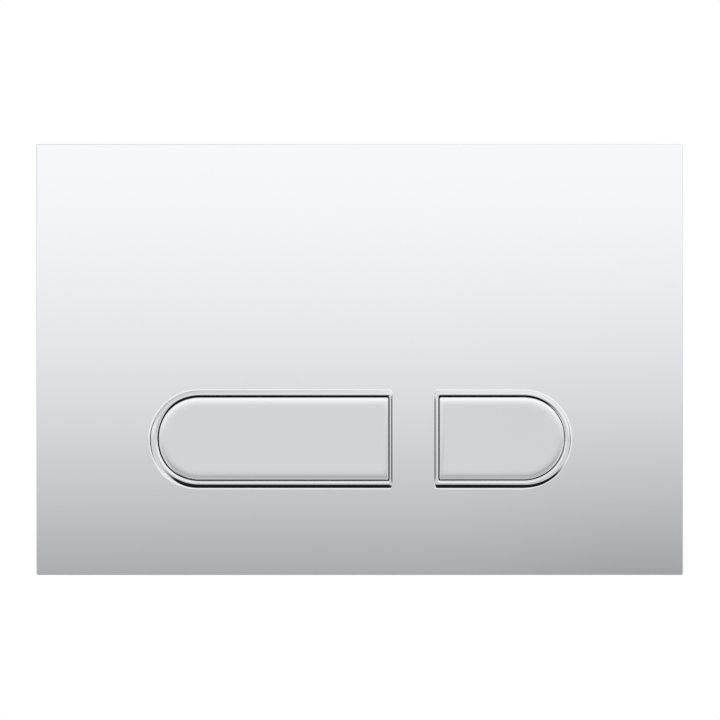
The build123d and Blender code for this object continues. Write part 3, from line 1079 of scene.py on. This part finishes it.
@dataclass(frozen=True)
class Cover:
    """Chromed cover plate, which keeps its CAD shape."""

    def build(self) -> None:
        """Dress the cover."""
        dress_node("cover_plate", CHROME)


@dataclass(frozen=True)
class Carrier:
    """Button carrier with its screws."""

    edge: float = 0.25

    def build(self) -> None:
        """Dress the carrier and make its screws."""
        dress_node("button_carrier", BLACK_PLASTIC, self.edge)
        CarrierScrews().build()


@dataclass(frozen=True)
class WallFrame:
    """Mounting frame at the wall opening, which keeps its CAD shape."""

    edge: float = 0.35

    def build(self) -> None:
        """Dress the frame."""
        dress_node("mounting_frame", WHITE_PLASTIC, self.edge)


@dataclass(frozen=True)
class Fixing:
    """Stud, washer and hand nut of one side."""

    side: Side
    x: float = 88.0
    radius: float = 4.0
    tail_r: float = 3.5
    front: float = -17.2
    reach: float = 55.0
    pitch: float = 1.25
    chamfer: float = 1.0
    washer_r: float = 8.0
    washer_t: float = 1.2
    washer_hole: float = 4.3
    washer_edge: float = 0.25
    washer_burr: float = 0.1
    washer_steps: int = 64
    nut_edge: float = 0.3

    def stud(self, middle: Pair) -> Skin:
        """Make the stepped stud.

        Args:
            middle: X and Z of its axis.

        Returns:
            The mesh.
        """
        skin = Skin()
        seat = LEVELS.bridge_rear
        front = Thread(self.front, seat, self.radius, self.pitch, self.chamfer).add(skin, middle)
        tail = Thread(seat, self.reach, self.tail_r, self.pitch, self.chamfer).add(skin, middle)
        skin.join([front[-1], tail[0]])
        skin.lid(front[0], tail[-1])
        return skin

    def washer(self, middle: Pair) -> Skin:
        """Make the washer.

        Args:
            middle: X and Z of its axis.

        Returns:
            The mesh.
        """
        skin = Skin()
        end, hole, edge = LEVELS.bridge_front, self.washer_hole, self.washer_edge
        start = end - self.washer_t
        profile = rounded(self.washer_r, start, end, edge)
        profile += [(hole, end - self.washer_burr), (hole, start + edge), (hole + edge, start)]
        skin.join(skin.rings(middle, profile, self.washer_steps), ring=True)
        return skin

    def build(self) -> None:
        """Make the stud and the washer, and dress the nut."""
        name = self.side.value
        middle = (self.side.sign * self.x, 0.0)
        place_piece(self.stud(middle), f"{name}_threaded_stud", ZINC_STEEL, PLATE, f"{name}_fixing_stud")
        place_piece(self.washer(middle), f"{name}_washer", ZINC_STEEL, PLATE, f"{name}_fixing_washer")
        dress_node(f"{name}_fixing_nut", NUT_PLASTIC, self.nut_edge)


@dataclass(frozen=True)
class PushRod:
    """Push rod of one button, with its head, lock nut and bush."""

    key: KeyName
    radius: float = 3.0
    tip_r: float = 2.5
    tip_steps: int = 4
    front: float = -16.1
    step_y: float = 23.9
    end: float = 59.9
    pitch: float = 1.5
    end_chamfer: float = 0.8
    thread_fit: float = 0.03
    head_r: float = 8.0
    head_t: float = 3.0
    head_edge: float = 0.7
    head_mouth: float = 0.6
    hub_r: float = 4.6
    grips: int = 24
    grip_depth: float = 0.35
    grip_steps: int = 6
    nut_flats: float = 10.0
    nut_face: float = 0.96
    nut_chamfer: float = 30.0
    nut_crease: float = 25.0
    nut_steps: int = 60
    bush_r: float = 5.0
    bush_flange_r: float = 7.5
    bush_end: float = 9.6
    bush_edge: float = 0.4
    bush_chamfer: float = 0.6
    bush_mouths: Pair = (0.5, 0.3)
    bush_steps: int = 56
    guide_fit: float = 0.08

    @property
    def middle(self) -> Pair:
        """X and Z of the rod."""
        return (self.key.middle, BUTTON_Z)

    def build(self) -> None:
        """Make the rod and what it carries, and the bush that guides it."""
        name, rod = self.key.label, self.key.rod
        place_piece(self.shaft(), f"{name}_shaft", ROD_PLASTIC, rod, f"{name}_push_rod")
        place_piece(self.head(), f"{name}_head", GREY_PLASTIC, rod, f"{name}_rod_head")
        place_piece(self.nut(), f"{name}_hex_nut", GREY_PLASTIC, rod, f"{name}_rod_locknut")
        place_piece(self.bush(), f"{name}_guide", GREY_PLASTIC, PLATE, f"{name}_rod_bush")

    def shaft(self) -> Skin:
        """Make the rod: a threaded length and a plain tip.

        Returns:
            The mesh.
        """
        skin = Skin()
        thread = Thread(self.front, self.step_y, self.radius, self.pitch, self.end_chamfer)
        rows = thread.add(skin, self.middle)
        edge = self.end_chamfer
        tip = [(self.tip_r, self.step_y)]
        for turn in bends(self.tip_steps):
            tip.append((self.tip_r - edge * (1 - cos(turn)), self.end - edge * (1 - sin(turn))))
        plain = skin.rings(self.middle, tip, thread.steps)
        skin.join([rows[-1], *plain])
        skin.lid(rows[0], plain[-1])
        return skin

    def head(self) -> Skin:
        """Make the adjustable head, with grips round its edge.

        Returns:
            The mesh.
        """
        front, rear = LEVELS.head_front, LEVELS.head_front + self.head_t
        bore, hole = self.radius + self.thread_fit, self.radius - self.head_mouth
        profile = [
            (bore, self.front, 0.0),
            (hole, self.front, 0.0),
            (hole, front + self.head_mouth, 0.0),
            (self.radius + self.head_mouth, front, 0.0),
            (self.head_r - self.head_edge, front, 0.0),
            (self.head_r, front + self.head_edge, self.grip_depth),
            (self.head_r, rear - self.head_edge, self.grip_depth),
            (self.head_r - self.head_edge, rear, 0.0),
            (self.hub_r, rear, 0.0),
            (self.hub_r, LEVELS.head_rear, 0.0),
            (bore, LEVELS.head_rear, 0.0),
        ]
        skin = Skin()
        rows = []
        for radius, y, grip in profile:
            ring = around(self.middle, self.grips * self.grip_steps,
                          lambda turn: (radius - grip * (1 - cos(self.grips * turn)) / 2, y))
            rows.append(skin.row(ring))
        skin.join(rows, ring=True)
        return skin

    def corner(self, turn: float, y: float, facing: int) -> Pair:
        """Edge of the lock nut, where the chamfer cuts its corners.

        Args:
            turn: Turn about the axis in radians.
            y: Y of the nut's face.
            facing: +1 for the front face and -1 for the rear one.

        Returns:
            Radius and Y there.
        """
        flat = self.nut_flats / 2
        reach = flat / cos(turn % (pi / 3) - pi / 6)
        return reach, y + facing * (reach - flat * self.nut_face) * tan(radians(self.nut_chamfer))

    def nut(self) -> Skin:
        """Make the lock nut, with its corners chamfered on both faces.

        Returns:
            The mesh.
        """
        skin = Skin(self.nut_crease)
        bore, face = self.radius + self.thread_fit, self.nut_flats / 2 * self.nut_face
        rows = []
        for y, facing in ((LEVELS.head_rear, 1), (LEVELS.locknut_rear, -1)):
            flat = skin.rings(self.middle, [(bore, y), (face, y)], self.nut_steps)
            edge = around(self.middle, self.nut_steps, lambda turn: self.corner(turn, y, facing))
            rows += [*flat, skin.row(edge)][::facing]
        skin.join(rows, ring=True)
        return skin

    def bush(self) -> Skin:
        """Make the guide bush.

        Returns:
            The mesh.
        """
        start, seat, end = LEVELS.bush_front, LEVELS.bridge_front, self.bush_end
        bore = self.radius + self.guide_fit
        mouth, rear_mouth = self.bush_mouths
        profile = [(bore + mouth, start), *rounded(self.bush_flange_r, start, seat, self.bush_edge)]
        profile += [(self.bush_r, seat), (self.bush_r, end - self.bush_chamfer)]
        profile += [(self.bush_r - self.bush_chamfer, end), (bore + rear_mouth, end)]
        profile += [(bore, end - rear_mouth), (bore, start + mouth)]
        skin = Skin()
        skin.join(skin.rings(self.middle, profile, self.bush_steps), ring=True)
        return skin


@dataclass(frozen=True)
class StudioDome:
    """Surroundings that the chrome shows: a panel lit from above, a ceiling, dark strips and pale walls.

    Angles are in degrees. Elevation is the angle above the horizon, and aside the angle to the right. Off is
    the angle from straight ahead of the plate, and round is the angle about that line, from straight down.
    Levels are brightness, where 1 is white. A ramp is a start and an end, with the values there. Where it has
    no values, it is an edge that goes from 0 to 1.
    """

    right_edge: Pair = (-0.02, 0.02)
    panel: Pair = (7.6, -7.6)
    panel_power: float = 1.65
    panel_drop_aside: Ramp = (2.0, 11.0, 0.565, 0.6215)
    apron_top_aside: Ramp = (12.0, 17.0, -7.6, -3.0)
    apron_edge: Pair = (0.0, -1.5)
    apron_level_aside: Ramp = (12.0, 17.0, 0.52, 0.69)
    ceiling_level: Ramp = (14.0, 58.0, 0.75, 0.82)
    ceiling_turn_aside: Ramp = (-12.0, 12.0, -0.11, 0.11)
    ceiling_edge: Pair = (14.0, 18.0)
    ceiling_off: Pair = (17.5, 20.5)
    ceiling_foot: Pair = (2.0, 7.0)
    zenith_edge: Pair = (58.0, 68.0)
    low_edge: Pair = (-19.0, -23.0)
    low_level: float = 0.85
    dim_off: Pair = (50.0, 54.0)
    dim_level: Ramp = (50.0, 68.0, 1.0, 0.83)
    dim_end: Pair = (72.0, 82.0)
    strip_near: float = 19.0
    strip_near_right: Ramp = (4.0, 60.0, 19.0, 33.0)
    strip_far_left: Ramp = (14.0, 48.0, 50.0, 28.0)
    strip_far_right: Ramp = (10.0, 30.0, 50.0, 59.0)
    strip_start: Pair = (0.0, 4.0)
    strip_end: Ramp = (0.0, 4.0, 1.0, 0.0)
    strip_round: Ramp = (36.0, 58.0, 1.0, 0.0)
    strip_turn_right: float = 8.0
    strip_level: float = 0.01
    side_near: Pair = (36.0, 38.6)
    side_far: Pair = (48.5, 47.4)
    side_start: Pair = (0.0, 3.0)
    side_end: Ramp = (-3.0, 0.0, 1.0, 0.0)
    side_round: Pair = (60.0, 82.0)
    side_fade: Ramp = (92.0, 112.0, 1.0, 0.25)
    side_level: float = 0.02
    wall_level: Ramp = (-30.0, 25.0, 0.62, 0.98)
    wall_round: Pair = (45.0, 60.0)
    wall_off: Pair = (68.0, 76.0)
    behind_off: Pair = (95.0, 110.0)
    cool_tint: Color = (0.955, 0.99, 1.0)
    plain_level: float = 0.75

    def color(self, nodes: Nodes) -> Socket:
        """Add the nodes that give the colour in each direction.

        Args:
            nodes: The world's nodes.

        Returns:
            The colour's socket.
        """
        direction = nodes.add("ShaderNodeTexCoord").outputs["Generated"]
        across, along, up = nodes.add("ShaderNodeSeparateXYZ", {0: direction}).outputs
        ahead, down = nodes.times(along, -1.0), nodes.times(up, -1.0)
        elevation = nodes.degrees("ARCSINE", up)
        aside = nodes.degrees("ARCTAN2", across, ahead)
        off = nodes.degrees("ARCCOSINE", ahead)
        turned = nodes.degrees("ARCTAN2", nodes.math("ABSOLUTE", across), down)
        on_right = nodes.rise(across, *self.right_edge)

        # Panel straight ahead, with an apron under it
        top, low = self.panel
        fall = nodes.add("ShaderNodeMapRange", {0: elevation, 1: top, 2: low}, clamp=False).outputs[0]
        share = nodes.math("POWER", nodes.math("MAXIMUM", fall, 0.0), self.panel_power)
        level = nodes.less(1.0, nodes.times(share, nodes.rise(aside, *self.panel_drop_aside)))
        beside = nodes.math("ABSOLUTE", aside)
        below = nodes.less(elevation, nodes.rise(beside, *self.apron_top_aside))
        apron = nodes.rise(beside, *self.apron_level_aside)
        level = nodes.level(nodes.rise(below, *self.apron_edge), level, apron)

        # Ceiling above and beside the panel, the zenith, and what lies low
        ceiling = nodes.rise(elevation, *self.ceiling_level)
        ceiling = nodes.math("ADD", ceiling, nodes.rise(aside, *self.ceiling_turn_aside))
        above = nodes.rise(elevation, *self.ceiling_edge)
        foot = nodes.rise(elevation, *self.ceiling_foot)
        past_panel = nodes.times(nodes.rise(off, *self.ceiling_off), foot)
        level = nodes.level(nodes.math("MAXIMUM", above, past_panel), level, ceiling)
        level = nodes.level(nodes.rise(elevation, *self.zenith_edge), level, 1.0)
        level = nodes.level(nodes.rise(elevation, *self.low_edge), level, self.low_level)

        # Dim ring far off
        dim = nodes.level(nodes.rise(off, *self.dim_end), nodes.rise(off, *self.dim_level), 1.0)
        level = nodes.level(nodes.rise(off, *self.dim_off), level, dim)

        # Dark strip below, which goes further round on the right
        near = nodes.level(on_right, self.strip_near, nodes.rise(turned, *self.strip_near_right))
        far_left = nodes.rise(turned, *self.strip_far_left)
        far = nodes.level(on_right, far_left, nodes.rise(turned, *self.strip_far_right))
        start = nodes.rise(nodes.less(off, near), *self.strip_start)
        strip = nodes.times(start, nodes.rise(nodes.less(off, far), *self.strip_end))
        round_to = nodes.less(turned, nodes.times(on_right, self.strip_turn_right))
        strip = nodes.times(strip, nodes.rise(round_to, *self.strip_round))
        level = nodes.level(strip, level, self.strip_level)

        # Dark strips at both sides
        near = nodes.less(off, nodes.level(on_right, *self.side_near))
        far = nodes.less(off, nodes.level(on_right, *self.side_far))
        side = nodes.times(nodes.rise(near, *self.side_start), nodes.rise(far, *self.side_end))
        side = nodes.times(side, nodes.rise(turned, *self.side_round))
        side = nodes.times(side, nodes.rise(turned, *self.side_fade))
        level = nodes.level(side, level, self.side_level)

        # Walls far to the sides and behind
        walls = nodes.rise(elevation, *self.wall_level)
        to_sides = nodes.times(nodes.rise(turned, *self.wall_round), nodes.rise(off, *self.wall_off))
        level = nodes.level(to_sides, level, walls)
        level = nodes.level(nodes.rise(off, *self.behind_off), level, walls)
        tint = nodes.blend(level, self.cool_tint, WHITE)
        return nodes.add("ShaderNodeVectorMath", {0: tint, "Scale": level}, operation="SCALE").outputs[0]

    def build(self) -> None:
        """Make the world: the dome for gloss, a plain level for matt light, and white behind the object."""
        world = bpy.data.worlds.new("studio")
        bpy.context.scene.world = world
        world.use_nodes = True
        nodes = Nodes(world.node_tree)
        path = nodes.add("ShaderNodeLightPath").outputs
        mirrored = nodes.math("MAXIMUM", path["Is Glossy Ray"], path["Is Transmission Ray"])
        light = nodes.blend(mirrored, (self.plain_level,) * 3, self.color(nodes))
        shown = nodes.blend(path["Is Camera Ray"], light, WHITE)
        nodes.put(world.node_tree.nodes["Background"].inputs["Color"], shown)


@dataclass(frozen=True)
class Lamp:
    """Soft lamp that points at the origin and that the chrome doesn't show; metres and watts."""

    name: str
    place: Point
    size: float = 0.9
    power: float = 9.0

    def build(self) -> None:
        """Add the lamp."""
        data = bpy.data.lights.new(self.name, "AREA")
        data.size = self.size
        data.energy = self.power
        made = bpy.data.objects.new(self.name, data)
        made.location = self.place
        made.rotation_euler = (-Vector(self.place)).to_track_quat("-Z", "Y").to_euler()
        made.visible_glossy = False
        bpy.context.scene.collection.objects.link(made)


@dataclass(frozen=True)
class Studio:
    """Floor, lamps and camera, in metres."""

    floor_z: float = -0.6
    floor_half_w: float = 2.4
    floor_fade: Pair = (0.3, 1.1)
    floor_color: Color = (0.86, 0.86, 0.86)
    floor_deeper: float = 0.99
    floor_clouds: Pair = (6.0, 3.0)
    floor_roughness: float = 0.9
    lamps: tuple[Lamp, ...] = (Lamp("front_lamp", (-0.5, -1.0, 0.9)), Lamp("rear_lamp", (0.6, 1.0, 0.9)))
    camera_distance: float = 0.6
    camera_x: float = 0.0001
    camera_z: float = -0.0002
    frame_width: float = 0.2669
    sensor_width: float = 36.0

    def paint(self) -> bpy.types.Material:
        """Make the floor's paint, which fades to white away from the plate.

        Returns:
            The material.
        """
        paint = bpy.data.materials.new("floor_paint")
        paint.use_nodes = True
        nodes = Nodes(paint.node_tree)
        shader = paint.node_tree.nodes["Principled BSDF"]
        place = nodes.place()
        clouds = nodes.noise(place, *self.floor_clouds)
        deeper = tuple(value * self.floor_deeper for value in self.floor_color)
        nodes.put(shader.inputs["Base Color"], nodes.blend(clouds, self.floor_color, deeper))
        nodes.put(shader.inputs["Roughness"], self.floor_roughness)
        level = {0: place, 1: (1.0, 1.0, 0.0)}
        flat = nodes.add("ShaderNodeVectorMath", level, operation="MULTIPLY").outputs[0]
        reach = nodes.add("ShaderNodeVectorMath", {0: flat}, operation="LENGTH").outputs["Value"]
        seen = nodes.add("ShaderNodeLightPath").outputs["Is Camera Ray"]
        fade = nodes.times(seen, nodes.rise(reach, *self.floor_fade))
        white = nodes.add("ShaderNodeEmission", {"Color": (*WHITE, 1.0), "Strength": 1.0}).outputs[0]
        mixed = nodes.add("ShaderNodeMixShader", {0: fade, 1: shader.outputs[0], 2: white}).outputs[0]
        nodes.put(paint.node_tree.nodes["Material Output"].inputs["Surface"], mixed)
        return paint

    def floor(self) -> None:
        """Make the pale floor, which the chrome doesn't show."""
        half = self.floor_half_w
        flat = ((-half, -half), (half, -half), (half, half), (-half, half))
        corners = [(x, y, self.floor_z) for x, y in flat]
        data = bpy.data.meshes.new("studio_floor")
        data.from_pydata(corners, [], [range(len(corners))])
        data.materials.append(self.paint())
        made = bpy.data.objects.new("studio_floor", data)
        made.visible_glossy = False
        bpy.context.scene.collection.objects.link(made)

    def camera(self) -> None:
        """Add the camera, square to the face of the plate."""
        data = bpy.data.cameras.new("front_camera")
        data.sensor_width = self.sensor_width
        data.lens = self.sensor_width * self.camera_distance / self.frame_width
        made = bpy.data.objects.new("front_camera", data)
        made.location = (self.camera_x, LEVELS.face * MM - self.camera_distance, self.camera_z)
        made.rotation_euler = (radians(90), 0.0, 0.0)
        bpy.context.scene.collection.objects.link(made)
        bpy.context.scene.camera = made

    def build(self) -> None:
        """Make the studio."""
        StudioDome().build()
        self.floor()
        for lamp in self.lamps:
            lamp.build()
        self.camera()
        bpy.context.scene.view_settings.view_transform = "Standard"


FULL_LINE = Outline(
    round_x=-78.5,
    side_x=12.17,
    side_width=1.12,
    end_widening=0.77,
    inner_rise=0.05,
    outer_fullness=(-0.13, 0.15),
    inner_fullness=(0.22, 0.25),
)
HALF_LINE = Outline(
    round_x=79.0,
    side_x=27.58,
    side_width=1.55,
    end_widening=0.1,
    inner_rise=0.12,
    outer_fullness=(0.1, 0.1),
    inner_fullness=(0.12, 0.05),
    lower_widening=0.40,
)


def main() -> None:
    """Build every sub-assembly in order, then the studio."""
    logging.basicConfig(level=logging.INFO, format="%(name)s: %(message)s")
    Cover().build()
    PushButton(KeyName.FULL, FULL_LINE, end_gap=0.185, post_offset=32.45).build()
    PushButton(KeyName.HALF, HALF_LINE, end_gap=-0.03, post_offset=13.1).build()
    Carrier().build()
    WallFrame().build()
    for side in Side:
        Fixing(side).build()
    for key in KeyName:
        PushRod(key).build()
    Studio().build()


if __name__ == "__main__":
    main()
